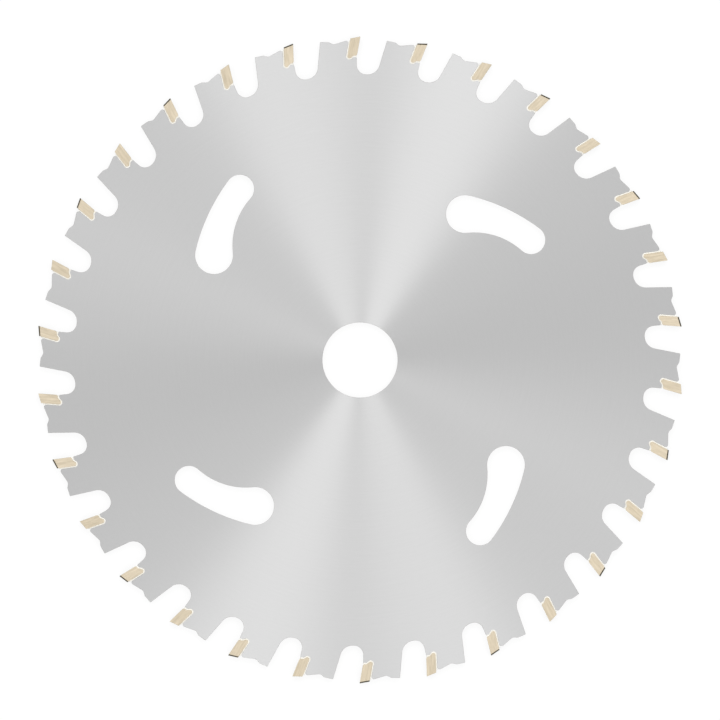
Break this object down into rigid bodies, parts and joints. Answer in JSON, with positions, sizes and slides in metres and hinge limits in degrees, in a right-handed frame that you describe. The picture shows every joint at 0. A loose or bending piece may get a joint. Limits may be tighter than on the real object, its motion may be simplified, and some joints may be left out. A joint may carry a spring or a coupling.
{
  "type": "circular saw blade",
  "caption": "Flat round saw blade with brazed carbide tips, deep round gullets, stepped chip-limiting shoulders, comma-shaped expansion slots and a plain arbor bore.",
  "frame": {"origin": "centre of the arbor bore, halfway through the plate", "axes": "+Z along the arbor axis, out of the face from which the blade cuts clockwise; +Y through the cutting corner of the first tooth; +X the way that tooth cuts"},
  "size_m": [0.1358, 0.1366, 0.0016],
  "materials": {
    "plate_steel": "fine round grinding on hardened tool steel",
    "carbide": "sintered carbide with ground sides",
    "braze": "pale silver braze alloy, as flowed"
  },
  "bodies": {
    "root": {"saw_plate": "plate_steel", "carbide_tip_01": "carbide", "carbide_tip_02": "carbide", "carbide_tip_03": "carbide", "carbide_tip_04": "carbide", "carbide_tip_05": "carbide", "carbide_tip_06": "carbide", "carbide_tip_07": "carbide", "carbide_tip_08": "carbide", "carbide_tip_09": "carbide", "carbide_tip_10": "carbide", "carbide_tip_11": "carbide", "carbide_tip_12": "carbide", "carbide_tip_13": "carbide", "carbide_tip_14": "carbide", "carbide_tip_15": "carbide", "carbide_tip_16": "carbide", "carbide_tip_17": "carbide", "carbide_tip_18": "carbide", "carbide_tip_19": "carbide", "carbide_tip_20": "carbide", "carbide_tip_21": "carbide", "carbide_tip_22": "carbide", "carbide_tip_23": "carbide", "carbide_tip_24": "carbide", "carbide_tip_25": "carbide", "carbide_tip_26": "carbide", "carbide_tip_27": "carbide", "carbide_tip_28": "carbide", "carbide_tip_29": "carbide", "carbide_tip_30": "carbide", "braze_seams": "braze"}
  },
  "joints": []
}
